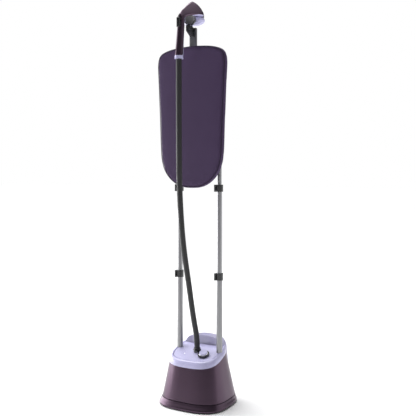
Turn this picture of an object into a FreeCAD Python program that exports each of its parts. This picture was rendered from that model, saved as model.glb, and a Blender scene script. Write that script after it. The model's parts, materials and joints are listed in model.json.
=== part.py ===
import FreeCAD, Part
import math
import os

import Sketcher
from FreeCAD import Placement, Rotation, Vector

# A standing garment steamer: a base with a boiler and a lift-out water tank, two telescopic poles,
# an upright board, and a handset that hangs on a cradle above the board.
# Millimetres. +Z up, +X to the right, the user stands at -Y. The origin is on the floor, under the
# middle of the whole steamer. The shapes are laid out around the middle of the foot, which stands
# behind the origin, because the handset reaches further ahead than the foot reaches back.

os.makedirs("parts", exist_ok=True)
doc = FreeCAD.newDocument("garment_steamer")

# ---------------------------------------------------------------- driving dimensions

DIMENSIONS = {
    "foot_middle": 24.5,
    # the housing is an oval that shrinks and moves back as it rises, from the seam to the top level
    "seam_level": 30.0,
    "seam_half_width": 133.0,
    "seam_half_depth": 119.6,
    "foot_ahead": 9.0,
    "top_level": 183.0,
    "top_half_width": 105.2,
    "top_half_depth": 87.2,
    "top_shift_ahead": 3.4,
    "straight_above": 206.0,
    "oval_power": 3.0,
    "shell_wall": 3.0,
    # the deck slopes down towards the user
    "deck_slope": 0.3,
    "rim_low": 183.2,
    "rim_high": 205.6,
    "deck_high": 203.8,
    "deck_thick": 3.0,
    "rim_width": 10.0,
    "foot_height": 3.0,
    # water tank at the back of the base
    "tank_half_width": 86.0,
    "tank_front": 42.0,
    "tank_floor": 60.5,
    "tank_crown": 250.0,
    "tank_wall": 2.5,
    "tank_gap": 0.5,
    # poles
    "pole_half_gap": 89.0,
    "pole_back": 3.0,
    "lower_radius": 11.5,
    "middle_radius": 10.0,
    "upper_radius": 8.5,
    "tube_wall": 1.2,
    "lower_foot": 60.0,
    "lower_length": 435.0,
    "middle_foot": 415.0,
    "middle_length": 423.0,
    "upper_foot": 768.0,
    "upper_length": 512.0,
    # clamps on the poles
    "collar_radius": 14.6,
    "collar_height": 27.0,
    "collar_drop": 13.0,
    "lever_height": 18.0,
    "lever_pin_radius": 1.6,
    "lever_reach": 19.0,
    # board
    "board_front": -68.0,
    "board_back": -38.5,
    "board_bottom": 836.0,
    "board_top": 1392.0,
    "board_half_width": 154.5,
    "tray_thick": 3.5,
    "cover_thick": 2.0,
    # mast and cradle
    "mast_width": 33.0,
    "mast_depth": 12.0,
    "mast_centre": -45.5,
    "mast_foot": 1290.0,
    "mast_top": 1455.5,
    "cradle_radius": 21.0,
    "cradle_centre": -69.0,
    "cradle_level": 1489.0,
    # knob and light on the deck
    "dial_right": 41.3,
    "dial_ahead": -36.5,
    "skirt_radius": 22.5,
    "skirt_height": 8.0,
    "cap_radius": 17.4,
    "cap_height": 6.0,
    "light_left": -41.3,
    "light_ahead": -41.0,
    # hose
    "hose_radius": 10.8,
    "outlet_ahead": -15.0,
    "outlet_level": 214.0,
    # boiler
    "boiler_radius": 42.0,
    "boiler_height": 66.0,
}

sheet = doc.addObject("Spreadsheet::Sheet", "sheet")
for row, (alias, value) in enumerate(DIMENSIONS.items(), start=1):
    sheet.set(f"A{row}", alias)
    sheet.set(f"B{row}", str(value))
    sheet.setAlias(f"B{row}", alias)
doc.recompute()

nodes = []


def size(alias):
    """A driving dimension, as the sheet holds it."""
    return float(sheet.get(alias))


def keep(thing, label):
    """Name an object as a sub-part of the steamer."""
    thing.Label = label
    nodes.append(thing)
    return thing


def stand(at=Vector(0, 0, 0), turn=Rotation()):
    """The placement of something that is laid out around the middle of the foot."""
    return Placement(at + Vector(0, size("foot_middle"), 0), turn)


def feature(label, shape, at=Vector(0, 0, 0)):
    """A sub-part whose shape comes from Part's own functions."""
    thing = doc.addObject("Part::Feature", label)
    thing.Shape = shape
    thing.Placement = stand(at) * shape.Placement
    return keep(thing, label)


def block(x0, y0, z0, x1, y1, z1):
    """A box between two corners."""
    return Part.makeBox(x1 - x0, y1 - y0, z1 - z0, Vector(x0, y0, z0))


def rod(radius, length, at, axis=Vector(0, 0, 1)):
    """A round bar that starts at a point and runs along an axis."""
    return Part.makeCylinder(radius, length, at, axis)


# ---------------------------------------------------------------- the oval of the base

OVAL_POINTS = 32


def oval_radius(angle, half_width, half_depth):
    """Distance from the centre of the rounded oval to its edge, in one direction."""
    power = size("oval_power")
    x = abs(math.cos(angle)) / half_width
    y = abs(math.sin(angle)) / half_depth
    return (x**power + y**power) ** (-1.0 / power)


def housing_section(level):
    """Half width, half depth and centre of the housing at one level."""
    level = min(level, size("straight_above"))
    rise = (level - size("seam_level")) / (size("top_level") - size("seam_level"))
    half_width = size("seam_half_width") + rise * (size("top_half_width") - size("seam_half_width"))
    half_depth = size("seam_half_depth") + rise * (size("top_half_depth") - size("seam_half_depth"))
    if level < size("seam_level"):
        return half_width, half_depth, (level / size("seam_level") - 1.0) * size("foot_ahead")
    return half_width, half_depth, -rise * size("top_shift_ahead")


def oval_edge(inset, level, slope=0.0):
    """The housing's outline on a flat or sloping plane, moved inwards by an inset."""
    points = []
    for i in range(OVAL_POINTS):
        angle = 2 * math.pi * i / OVAL_POINTS
        z = level
        for _ in range(6):
            half_width, half_depth, centre = housing_section(z)
            reach = oval_radius(angle, half_width - inset, half_depth - inset)
            y = centre + reach * math.sin(angle)
            z = level + slope * y
        points.append(Vector(reach * math.cos(angle), y, z))
    curve = Part.BSplineCurve()
    curve.interpolate(points, PeriodicFlag=True)
    return curve.toShape()


def oval_band(profile):
    """A closed band around the base. The profile lists its corners as (inset, level, slope)."""
    edges = [oval_edge(*corner) for corner in profile]
    walls = [Part.makeRuledSurface(a, b) for a, b in zip(edges, edges[1:] + edges[:1])]
    return Part.makeSolid(Part.makeShell(walls))


def oval_stack(profile):
    """A solid that fills the oval, from the first corner of the profile up to the last."""
    edges = [oval_edge(*corner) for corner in profile]
    walls = [Part.makeRuledSurface(a, b) for a, b in zip(edges, edges[1:])]
    ends = [Part.Face(Part.Wire(edge)) for edge in (edges[0], edges[-1])]
    return Part.makeSolid(Part.makeShell(walls + ends))


SLOPE = size("deck_slope")
WALL = size("shell_wall")
SEAM = size("seam_level")
RIM_LOW = size("rim_low")
RIM_HIGH = size("rim_high")
POLE_X = size("pole_half_gap")
POLE_Y = size("pole_back")
FAR = 400.0
SIDES = {"left": -1, "right": 1}


def on_deck(ahead, above=0.0):
    """Level of the sloping deck at a distance from the origin, and a height above it."""
    return size("deck_high") + SLOPE * ahead + above


# ---------------------------------------------------------------- foot, housing, rim and deck

FOOT_H = size("foot_height")
feet = [(sx * 98.0, sy * 86.0) for sx in (-1, 1) for sy in (-1, 1)]
screws = [(sx * 58.0, sy * 98.0) for sx in (-1, 1) for sy in (-1, 1)]

# it flares out in a hollow curve, and steps in below the housing, so that the seam shows as a groove
PLINTH_EDGE = [(0.5, 3.0), (-3.4, 5.5), (-4.8, 9.0), (-4.0, 14.0), (-2.2, 20.0), (-0.8, 27.8)]
PLINTH_EDGE += [(3.4, 28.2), (3.4, 29.7)]
plinth = oval_stack([(inset, level, 0) for inset, level in PLINTH_EDGE])
plinth = plinth.cut(oval_stack([(6.4, 9.0, 0), (6.4, SEAM, 0)]))
for x, y in screws:
    plinth = plinth.cut(rod(2.3, 12.0, Vector(x, y, 0)))
    plinth = plinth.cut(rod(4.3, 2.4, Vector(x, y, FOOT_H)))
for x, y in feet:
    plinth = plinth.cut(rod(4.0, 3.0, Vector(x, y, FOOT_H)))
feature("plinth", plinth)

pads = []
for x, y in feet:
    pad = Part.makeCone(11.0, 12.5, FOOT_H, Vector(x, y, 0))
    pads.append(pad.fuse(rod(3.9, 2.8, Vector(x, y, FOOT_H))))
feature("rubber_feet", Part.makeCompound(pads))

fasteners = []
for x, y in screws:
    head = rod(4.1, 2.2, Vector(x, y, FOOT_H + 0.1))
    fasteners.append(head.fuse(rod(2.0, 20.0, Vector(x, y, FOOT_H + 2.3))))
feature("base_screws", Part.makeCompound(fasteners))

BAY_X = size("tank_half_width") + size("tank_gap")
BAY_Y = size("tank_front") - size("tank_gap")
BAY_Z = size("tank_floor") - size("tank_gap")
bay = block(-BAY_X, BAY_Y, BAY_Z, BAY_X, FAR, FAR)
lined = block(-BAY_X - WALL, BAY_Y - WALL, BAY_Z - WALL, BAY_X + WALL, FAR, FAR)

skin = oval_stack([(0, SEAM, 0), (0, RIM_LOW, SLOPE)])
housing = oval_band([(0, SEAM, 0), (0, RIM_LOW, SLOPE), (WALL, RIM_LOW, SLOPE), (WALL, SEAM, 0)])
housing = housing.fuse(skin.common(lined)).cut(bay)


def rear_wall(right, level):
    """Where the housing's rear wall stands, at a distance from the middle."""
    half_width, half_depth, centre = housing_section(level)
    power = size("oval_power")
    return centre + half_depth * (1 - (abs(right) / half_width) ** power) ** (1 / power)


GLAND_X, GLAND_Z = -60.0, 45.0
CAP_X, CAP_Z = 55.0, 44.0
REAR = Vector(0, 1, 0)
GLAND_Y = rear_wall(GLAND_X, GLAND_Z)
CAP_Y = rear_wall(CAP_X, CAP_Z)
housing = housing.cut(rod(7.2, 40.0, Vector(GLAND_X, GLAND_Y - 20, GLAND_Z), REAR))
housing = housing.cut(rod(9.2, 40.0, Vector(CAP_X, CAP_Y - 20, CAP_Z), REAR))
feature("housing", housing)

RIM_W = size("rim_width")
rim = oval_band(
    [
        (-1.2, RIM_LOW + 0.2, SLOPE),
        (-1.6, RIM_LOW + 9.0, SLOPE),
        (-0.6, RIM_HIGH - 6.0, SLOPE),
        (1.4, RIM_HIGH - 2.0, SLOPE),
        (4.5, RIM_HIGH, SLOPE),
        (8.0, RIM_HIGH - 0.6, SLOPE),
        (RIM_W, RIM_HIGH - 3.0, SLOPE),
        (RIM_W, RIM_LOW + 0.2, SLOPE),
    ]
)
rim = rim.cut(bay)
for sign in SIDES.values():
    rim = rim.cut(rod(size("lower_radius") + 0.25, 100.0, Vector(sign * POLE_X, POLE_Y, 150.0)))
feature("deck_rim", rim)

DECK_T = size("deck_thick")
HOSE_Y = size("outlet_ahead")
DIAL = Vector(size("dial_right"), size("dial_ahead"), on_deck(size("dial_ahead")))
LIGHT = Vector(size("light_left"), size("light_ahead"), on_deck(size("light_ahead")))
DECK_NORMAL = Vector(0, -SLOPE, 1).normalize()

DECK_IN = RIM_W + 1.3
deck = oval_stack([(DECK_IN, size("deck_high") - DECK_T, SLOPE), (DECK_IN, size("deck_high"), SLOPE)])
deck = deck.cut(lined)
for sx in (-1, 1):
    deck = deck.cut(rod(size("lower_radius") + 0.2, 100.0, Vector(sx * POLE_X, POLE_Y, 150.0)))
deck = deck.cut(rod(13.2, 100.0, Vector(0, HOSE_Y, 150.0)))
deck = deck.cut(rod(4.4, 20.0, DIAL - DECK_NORMAL * 10, DECK_NORMAL))
deck = deck.cut(rod(2.6, 20.0, LIGHT - DECK_NORMAL * 10, DECK_NORMAL))
feature("deck_panel", deck)

lens = rod(2.4, 5.5, LIGHT - DECK_NORMAL * 5, DECK_NORMAL)
feature("power_light", lens.fuse(rod(4.0, 1.6, LIGHT - DECK_NORMAL * 5, DECK_NORMAL)))

# the gland takes the mains lead; the cap closes the boiler's drain
gland = rod(7.0, 16.0, Vector(GLAND_X, GLAND_Y - 9, GLAND_Z), REAR)
gland = gland.fuse(rod(10.0, 3.5, Vector(GLAND_X, GLAND_Y + 4, GLAND_Z), REAR))
gland = gland.cut(rod(3.6, 40.0, Vector(GLAND_X, GLAND_Y - 20, GLAND_Z), REAR))
feature("cable_gland", gland)

drain = rod(9.0, 18.0, Vector(CAP_X, CAP_Y - 12, CAP_Z), REAR)
drain = drain.fuse(rod(12.0, 4.0, Vector(CAP_X, CAP_Y + 4.6, CAP_Z), REAR))
drain = drain.cut(block(CAP_X - 1.5, CAP_Y + 6.6, CAP_Z - 9, CAP_X + 1.5, CAP_Y + 9, CAP_Z + 9))
feature("drain_cap", drain)

# ---------------------------------------------------------------- PartDesign helpers


def new_body(label):
    """A PartDesign body that is a sub-part."""
    body = doc.addObject("PartDesign::Body", label)
    return keep(body, label)


def base_plane(body, role):
    """One of the body's own origin planes."""
    return next(item for item in body.Origin.OriginFeatures if item.Role == role)


def new_sketch(body, role="XY_Plane"):
    sketch = body.newObject("Sketcher::SketchObject", "profile")
    sketch.AttachmentSupport = (base_plane(body, role), [""])
    sketch.MapMode = "FlatFace"
    return sketch


def add_circle(sketch, radius, x=0.0, y=0.0):
    """A circle whose radius is an expression on the sheet."""
    index = sketch.addGeometry(Part.Circle(Vector(x, y, 0), Vector(0, 0, 1), 5.0), False)
    constraint = sketch.addConstraint(Sketcher.Constraint("Radius", index, 5.0))
    sketch.setExpression(f"Constraints[{constraint}]", radius)


def pad(body, sketch, length):
    """Pad a sketch by a length that is an expression on the sheet."""
    result = body.newObject("PartDesign::Pad", "pad")
    result.Profile = sketch
    result.setExpression("Length", length)
    return result


def tube_body(label, outer, inner, length, x, y, z):
    """A straight tube that stands on a point. Every size is an expression on the sheet."""
    body = new_body(label)
    sketch = new_sketch(body)
    add_circle(sketch, outer)
    add_circle(sketch, inner)
    pad(body, sketch, length)
    body.setExpression("Placement.Base.x", x)
    body.setExpression("Placement.Base.y", y)
    body.setExpression("Placement.Base.z", z)
    return body


# ---------------------------------------------------------------- poles

for side, sign in SIDES.items():
    for stage in ("lower", "middle", "upper"):
        radius = f"sheet.{stage}_radius"
        tube_body(
            f"{stage}_tube_{side}",
            radius,
            f"{radius} - sheet.tube_wall",
            f"sheet.{stage}_length",
            f"{sign} * sheet.pole_half_gap",
            "sheet.pole_back + sheet.foot_middle",
            f"sheet.{stage}_foot",
        )

# sockets in the base that hold the lower tubes
sockets = []
for sign in SIDES.values():
    at = Vector(sign * POLE_X, POLE_Y, size("lower_foot"))
    outer = rod(size("lower_radius") + 3.0, 55.0, at - Vector(0, 0, 5.0))
    sockets.append(outer.cut(rod(size("lower_radius") + 0.05, 60.0, at)))
feature("pole_sockets", Part.makeCompound(sockets))

# plastic bushes at the foot of the sliding tubes
BUSH_H = 14.0
for stage, host in (("middle", "lower"), ("upper", "middle")):
    bore = size(f"{host}_radius") - size("tube_wall")
    inner = size(f"{stage}_radius") - size("tube_wall")
    plugs = []
    for sign in SIDES.values():
        at = Vector(sign * POLE_X, POLE_Y, size(f"{stage}_foot") - 4.0)
        cap = rod(bore - 0.08, 3.95, at)
        plug = cap.fuse(rod(inner - 0.05, BUSH_H, at))
        plugs.append(plug.cut(rod(inner - 2.0, 40.0, at - Vector(0, 0, 2))))
    feature(f"{stage}_bushes", Part.makeCompound(plugs))

# ---------------------------------------------------------------- clamps with flip levers

PIN_TURN = math.radians(232.0)
LEVER_END = math.radians(128.0)
LEVER_IN = size("collar_radius") + 0.6
LEVER_OUT = LEVER_IN + 3.6
REACH = size("lever_reach")
PIN_R = size("lever_pin_radius")
LUG_H = (size("collar_height") - size("lever_height")) / 2 - 0.4


def wedge(angle_from, angle_to, radius, height):
    """A slice of a cylinder between two directions."""
    middle = (angle_from + angle_to) / 2
    arc = [Vector(radius * math.cos(a), radius * math.sin(a), 0) for a in (angle_from, middle, angle_to)]
    centre = Vector(0, 0, 0)
    edges = [Part.makeLine(centre, arc[0]), Part.Arc(*arc).toShape(), Part.makeLine(arc[2], centre)]
    return Part.Face(Part.Wire(edges)).extrude(Vector(0, 0, height))


def clamp_collar(fixed_radius, sliding_radius):
    """A collar that grips the outer tube below and lets the inner tube slide above, with the lever's pin."""
    height = size("collar_height")
    drop = size("collar_drop")
    collar = rod(size("collar_radius"), height, Vector(0, 0, 0))
    pin_at = Vector(REACH * math.cos(PIN_TURN), REACH * math.sin(PIN_TURN), 0)
    for z in (0.0, height - LUG_H):
        lug = rod(4.0, LUG_H, pin_at + Vector(0, 0, z))
        bridge = Part.makeBox(REACH, 8.0, LUG_H, Vector(0, -4.0, z))
        bridge.rotate(Vector(0, 0, 0), Vector(0, 0, 1), math.degrees(PIN_TURN))
        collar = collar.fuse([lug, bridge])
    collar = collar.fuse(rod(PIN_R, height, pin_at))
    collar = collar.cut(rod(fixed_radius + 0.03, drop, Vector(0, 0, 0)))
    collar = collar.cut(rod(sliding_radius + 0.3, height, Vector(0, 0, 0)))
    slit = Part.makeBox(30.0, 1.6, 30.0, Vector(0, -0.8, drop + 2.0))
    slit.rotate(Vector(0, 0, 0), Vector(0, 0, 1), 200.0)
    return collar.cut(slit)


def clamp_lever():
    """A curved lever that wraps the collar's side and turns on the pin."""
    height = size("lever_height")
    pin_at = Vector(REACH * math.cos(PIN_TURN), REACH * math.sin(PIN_TURN), 0)
    shell = rod(LEVER_OUT, height, Vector(0, 0, 0)).cut(rod(LEVER_IN, height, Vector(0, 0, 0)))
    shell = shell.common(wedge(LEVER_END, PIN_TURN, FAR / 8, height))
    lip = rod(2.2, height, Vector(math.cos(LEVER_END), math.sin(LEVER_END), 0) * (LEVER_OUT - 0.4))
    lever = shell.fuse([rod(3.9, height, pin_at), lip])
    return lever.cut([rod(PIN_R + 0.1, height, pin_at), rod(LEVER_IN - 0.01, height, Vector(0, 0, 0))])


for level, fixed, sliding in (("lower", "lower", "middle"), ("upper", "middle", "upper")):
    rest = size(f"{fixed}_foot") + size(f"{fixed}_length") - size("collar_drop")
    lever_rest = rest + (size("collar_height") - size("lever_height")) / 2
    for side, sign in SIDES.items():
        collar = clamp_collar(size(f"{fixed}_radius"), size(f"{sliding}_radius"))
        feature(f"{level}_collar_{side}", collar, Vector(sign * POLE_X, POLE_Y, rest))
        feature(f"{level}_lever_{side}", clamp_lever(), Vector(sign * POLE_X, POLE_Y, lever_rest))

# ---------------------------------------------------------------- steam knob

DIAL_TURN = Rotation(Vector(0, 0, 1), DECK_NORMAL)
skirt = new_body("dial_skirt")
sketch = new_sketch(skirt)
add_circle(sketch, "sheet.skirt_radius")
pad(skirt, sketch, "sheet.skirt_height")
bore_sketch = new_sketch(skirt)
add_circle(bore_sketch, "3.05")
bore = skirt.newObject("PartDesign::Pocket", "shaft_bore")
bore.Profile = bore_sketch
bore.Reversed = True
bore.Length = 6.0
skirt.Placement = stand(DIAL + DECK_NORMAL * 0.5, DIAL_TURN)

cap = doc.addObject("Part::Cone", "dial_cap")
cap.setExpression("Radius1", "sheet.cap_radius")
cap.setExpression("Radius2", "sheet.cap_radius - 1.8")
cap.setExpression("Height", "sheet.cap_height")
cap.Placement = stand(DIAL + DECK_NORMAL * (0.5 + size("skirt_height")), DIAL_TURN)
keep(cap, "dial_cap")

switch = rod(13.0, 14.0, DIAL - DECK_NORMAL * (DECK_T + 14.5), DECK_NORMAL)
switch = switch.fuse(rod(3.0, 23.0, DIAL - DECK_NORMAL * (DECK_T + 14.5), DECK_NORMAL))
feature("dial_switch", switch)

# ---------------------------------------------------------------- water tank

TANK_X = size("tank_half_width")
TANK_Y = size("tank_front")
TANK_Z = size("tank_floor")
CROWN = size("tank_crown")
TANK_W = size("tank_wall")


def tank_form(inset):
    """The tank's outer form, or its cavity when inset by the wall."""
    form = oval_stack([(inset, TANK_Z + inset, 0), (inset, CROWN + 40.0, 0)])
    width = TANK_X - inset
    top = CROWN - inset
    corner = [Vector(width - x, 0, top - z) for x, z in ((0.0, 42.0), (5.0, 25.0), (21.0, 9.5))]
    other = [Vector(-p.x, 0, p.z) for p in reversed(corner)]
    edges = [
        Part.Arc(*corner).toShape(),
        Part.Arc(corner[2], Vector(0, 0, top), other[0]).toShape(),
        Part.Arc(*other).toShape(),
        Part.makeLine(other[2], Vector(-width, 0, 0)),
        Part.makeLine(Vector(-width, 0, 0), Vector(width, 0, 0)),
        Part.makeLine(Vector(width, 0, 0), corner[0]),
    ]
    front = Part.Face(Part.Wire(edges))
    front.translate(Vector(0, TANK_Y + inset, 0))
    return form.common(front.extrude(Vector(0, FAR, 0)))


LID_X, LID_FRONT, LID_BACK, LID_H = 21.0, 51.0, 69.0, 3.6
LID_TOP = CROWN - 1.2
valve_at = Vector(-30.0, 78.0, TANK_Z)
tank = tank_form(0.0).cut(tank_form(TANK_W))
seat = block(-LID_X - 3, LID_FRONT - 3, CROWN - 9, LID_X + 3, LID_BACK + 3.4, CROWN)
tank = tank.fuse(seat.common(tank_form(0.0)))
tank = tank.cut(block(-LID_X - 0.4, LID_FRONT - 0.4, LID_TOP - LID_H - 0.3, LID_X + 0.4, LID_BACK + 0.5, FAR))
tank = tank.cut(block(-15.0, LID_FRONT + 3, CROWN - 20, 15.0, LID_BACK - 3, CROWN))
tank = tank.cut(rod(6.3, 6.0, valve_at - Vector(0, 0, 1)))
rear_top = rear_wall(0.0, size("straight_above"))
tank = tank.cut(block(-28.0, rear_top - 1.2, 214.0, 28.0, FAR, 236.0))
feature("tank_shell", tank)

lid = block(-LID_X, LID_FRONT, LID_TOP - LID_H, LID_X, LID_BACK, LID_TOP)
feature("filler_lid", lid)

valve = rod(6.2, 4.0, valve_at + Vector(0, 0, 0.1)).fuse(rod(9.0, 3.0, valve_at + Vector(0, 0, 2.8)))
feature("tank_valve", valve)

# ---------------------------------------------------------------- inside the base


def route_path(points):
    """Straight runs joined by tangent arcs, as one wire. Returns the wire and the arcs' radii."""
    edges, radii = [], []
    start = points[0]
    for before, corner, after in zip(points, points[1:], points[2:]):
        run_in, run_out = corner - before, after - corner
        turn = run_in.getAngle(run_out)
        shorter = min(run_in.Length, run_out.Length)
        reach = 0.45 * shorter
        radii.append(reach / math.tan(turn / 2))
        enter = corner - Vector(run_in).normalize() * reach
        leave = corner + Vector(run_out).normalize() * reach
        inward = (enter + leave) * 0.5 - corner
        sagitta = radii[-1] * (1 / math.cos(turn / 2) - 1)
        middle = corner + inward.normalize() * sagitta
        edges.append(Part.LineSegment(start, enter).toShape())
        edges.append(Part.Arc(enter, middle, leave).toShape())
        start = leave
    edges.append(Part.LineSegment(start, points[-1]).toShape())
    return Part.Wire(edges), radii


def pipe(points, radius):
    """A round bar swept along a route."""
    path, radii = route_path(points)
    section = Part.Wire(Part.makeCircle(radius, points[0], points[1] - points[0]))
    return path.makePipeShell([section], True, True), path.Length, radii


BOILER_AT = Vector(-20.0, -32.0, 66.0)
BOILER_H = size("boiler_height")

boiler = new_body("boiler")
outline = new_sketch(boiler, "XZ_Plane")
corners = [(0, 0), (40, 0), (42, 4), (42, 58), (30, 66), (0, 66)]
for a, b in zip(corners, corners[1:] + corners[:1]):
    outline.addGeometry(Part.LineSegment(Vector(a[0], a[1], 0), Vector(b[0], b[1], 0)), False)
revolution = boiler.newObject("PartDesign::Revolution", "drum")
revolution.Profile = outline
revolution.ReferenceAxis = (outline, ["V_Axis"])
revolution.Angle = 360
boiler.Placement = stand(BOILER_AT)

heater = doc.addObject("Part::Torus", "heater")
heater.setExpression("Radius1", "sheet.boiler_radius - 12")
heater.Radius2 = 4.0
heater.Placement = stand(BOILER_AT - Vector(0, 0, 4.3))
keep(heater, "heater")

thermostat = doc.addObject("Part::Cylinder", "thermostat")
thermostat.Radius = 8.0
thermostat.Height = 7.0
thermostat.Placement = stand(BOILER_AT + Vector(-14, 8, BOILER_H + 0.1))
keep(thermostat, "thermostat")

fuse_link = rod(2.5, 22.0, BOILER_AT + Vector(-11, -size("boiler_radius") - 2.8, 30), Vector(1, 0, 0))
feature("thermal_fuse", fuse_link)

PUMP_AT = Vector(58.0, -46.0, 44.0)
pump = doc.addObject("Part::Cylinder", "pump_motor")
pump.Radius = 17.0
pump.Height = 34.0
head = doc.addObject("Part::Box", "pump_head")
head.Length = 40.0
head.Width = 30.0
head.Height = 14.0
head.Placement = Placement(Vector(-20, -15, -14.0), Rotation())
water_pump = doc.addObject("Part::Fuse", "water_pump")
water_pump.Base = pump
water_pump.Tool = head
water_pump.Placement = stand(PUMP_AT)
keep(water_pump, "water_pump")

BOARD_Y = 30.0
board = block(26.0, BOARD_Y, 78.0, 72.0, BOARD_Y + 1.6, 138.0)
for x, z, w, t in ((34, 90, 12, 14), (52, 92, 14, 10), (32, 112, 10, 8), (50, 116, 16, 6)):
    board = board.fuse(block(x, BOARD_Y - t, z, x + w, BOARD_Y + 0.5, z + 14))
feature("control_board", board)

feed_start = Vector(valve_at.x, valve_at.y, BAY_Z - WALL - 4.0)
feed, _, _ = pipe(
    [
        feed_start,
        feed_start - Vector(0, 0, 20),
        Vector(-8.0, 50.0, 30.0),
        Vector(24.0, 0.0, 36.0),
        Vector(30.0, -46.0, 37.0),
        Vector(37.8, -46.0, 37.0),
    ],
    3.0,
)
spout = rod(9.0, 5.0, feed_start - Vector(0, 0, 1.2))
feature("feed_tube", feed.fuse(spout))

steam_start = BOILER_AT + Vector(12, 0, BOILER_H + 0.1)
steam_line, _, _ = pipe(
    [
        steam_start,
        steam_start + Vector(0, 0, 16),
        Vector(0, HOSE_Y, 164.0),
        Vector(0, HOSE_Y, 183.0),
    ],
    4.0,
)
feature("steam_pipe", steam_line)

socket = rod(13.0, 30.0, Vector(0, HOSE_Y, 183.2)).fuse(
    Part.makeCone(16.0, 13.1, 6.0, Vector(0, HOSE_Y, on_deck(HOSE_Y, 5.5)))
)
socket = socket.cut(block(-FAR, -FAR, size("outlet_level"), FAR, FAR, FAR))
feature("hose_socket", socket)

# ---------------------------------------------------------------- the steam hose, in three spans

HOSE_R = size("hose_radius")
SPANS = {
    "hose_lower": [
        Vector(0, HOSE_Y, size("outlet_level")),
        Vector(0, HOSE_Y, 252.0),
        Vector(0, -43.0, 330.0),
        Vector(0, -79.0, 470.0),
        Vector(0, -124.0, 630.0),
        Vector(0, -135.0, 715.0),
    ],
    "hose_middle": [
        Vector(0, -135.0, 715.0),
        Vector(0, -146.0, 800.0),
        Vector(0, -151.6, 930.0),
        Vector(0, -152.6, 1130.0),
    ],
    "hose_upper": [
        Vector(0, -152.6, 1130.0),
        Vector(0, -153.1, 1230.0),
        Vector(0, -153.1, 1324.6),
    ],
}
for label, route in SPANS.items():
    span, length, radii = pipe(route, HOSE_R)
    ratio = span.Volume / (math.pi * HOSE_R**2 * length)
    bends = [round(radius) for radius in radii]
    print(label, "length", round(length, 1), "volume ratio", round(ratio, 4), "radii", bends)
    feature(label, span)

# ---------------------------------------------------------------- board

BOARD_W = size("board_half_width")
BOARD_LOW = size("board_bottom")
BOARD_HIGH = size("board_top")
BOARD_F = size("board_front")
BOARD_B = size("board_back")


def board_wire(inset, y):
    """Outline of the board: a bowed top with round shoulders, sides that taper in, a round lower end."""
    half = [
        (0.0, 0.0),
        (0.27, 0.007),
        (0.48, 0.031),
        (0.65, 0.068),
        (0.79, 0.120),
        (0.867, 0.180),
        (0.903, 0.240),
        (0.922, 0.345),
        (0.940, 0.485),
        (0.962, 0.625),
        (0.995, 0.820),
        (1.0, 0.870),
        (0.975, 0.918),
        (0.91, 0.950),
        (0.78, 0.972),
        (0.50, 0.991),
        (0.0, 1.0),
    ]
    width = BOARD_W - inset
    low = BOARD_LOW + inset
    tall = BOARD_HIGH - BOARD_LOW - 2 * inset
    right = [Vector(u * width, y, low + v * tall) for u, v in half]
    left = [Vector(-p.x, p.y, p.z) for p in right[1:-1]]
    curve = Part.BSplineCurve()
    curve.interpolate(right + left[::-1], PeriodicFlag=True)
    return Part.Wire(curve.toShape())


def board_slab(inset, front, back, front_round, back_round):
    """The board's outline as a slab with round front and back edges."""
    slab = Part.Face(board_wire(inset, front)).extrude(Vector(0, back - front, 0))
    for y, radius in ((front, front_round), (back, back_round)):
        rim = [e for e in slab.Edges if abs(e.BoundBox.YMin - y) < 0.1 and abs(e.BoundBox.YMax - y) < 0.1]
        if radius:
            slab = slab.makeFillet(radius, rim)
    return slab


TRAY_T = size("tray_thick")
COVER_T = size("cover_thick")
MAST_Y = size("mast_centre")
MAST_W = size("mast_width")
MAST_D = size("mast_depth")
tray_front = BOARD_B - TRAY_T
FRONT_ROUND = 14.0
BACK_ROUND = 11.0
SLOT_X = MAST_W / 2 + 0.4
mast_slot = block(-SLOT_X, MAST_Y - MAST_D / 2 - 0.4, size("mast_foot") - 0.4, SLOT_X, BOARD_B + 1.0, FAR * 5)
fixings = [Vector(sx * 22.0, 0, z) for sx in (-1, 1) for z in (1216.0, 1264.0)]

tray = board_slab(BACK_ROUND + 1.0, tray_front, BOARD_B, 0, 0).cut(mast_slot)
for at in fixings:
    tray = tray.cut(rod(2.2, 20.0, Vector(at.x, tray_front - 2, at.z), REAR))
feature("board_tray", tray)

INNER_ROUNDS = (FRONT_ROUND - COVER_T, BACK_ROUND - COVER_T)
foam = board_slab(COVER_T + 0.4, BOARD_F + COVER_T + 0.4, tray_front - 0.3, *INNER_ROUNDS)
feature("board_foam", foam.cut(mast_slot))

cover = board_slab(0.0, BOARD_F, BOARD_B - 1.0, FRONT_ROUND, BACK_ROUND)
cover = cover.cut(board_slab(COVER_T, BOARD_F + COVER_T, tray_front, *INNER_ROUNDS))
cover = cover.cut(board_slab(BACK_ROUND + 0.6, tray_front - 2.0, BOARD_B, 0, 0))
feature("board_cover", cover.cut(mast_slot))

# ---------------------------------------------------------------- yoke, mast, cradle

YOKE_Z = 1240.0
UPPER_R = size("upper_radius")
yoke = block(-POLE_X - 14.0, POLE_Y - 14.0, YOKE_Z - 18.0, POLE_X + 14.0, POLE_Y + 14.0, YOKE_Z + 18.0)
yoke = yoke.makeFillet(6.0, [e for e in yoke.Edges if e.Length > 100 or e.Length < 32])
yoke = yoke.fuse(block(-34.0, BOARD_B + 0.1, YOKE_Z - 34.0, 34.0, POLE_Y - 8.0, YOKE_Z + 34.0))
yoke = yoke.cut(block(-24.0, BOARD_B + 5.0, YOKE_Z + 18.1, 24.0, POLE_Y, YOKE_Z + 40.0))
for sign in SIDES.values():
    yoke = yoke.cut(rod(UPPER_R + 0.05, 100.0, Vector(sign * POLE_X, POLE_Y, YOKE_Z - 60.0)))
for at in fixings:
    yoke = yoke.cut(rod(2.2, 60.0, Vector(at.x, BOARD_B - 1, at.z), REAR))
feature("yoke", yoke)

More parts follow.
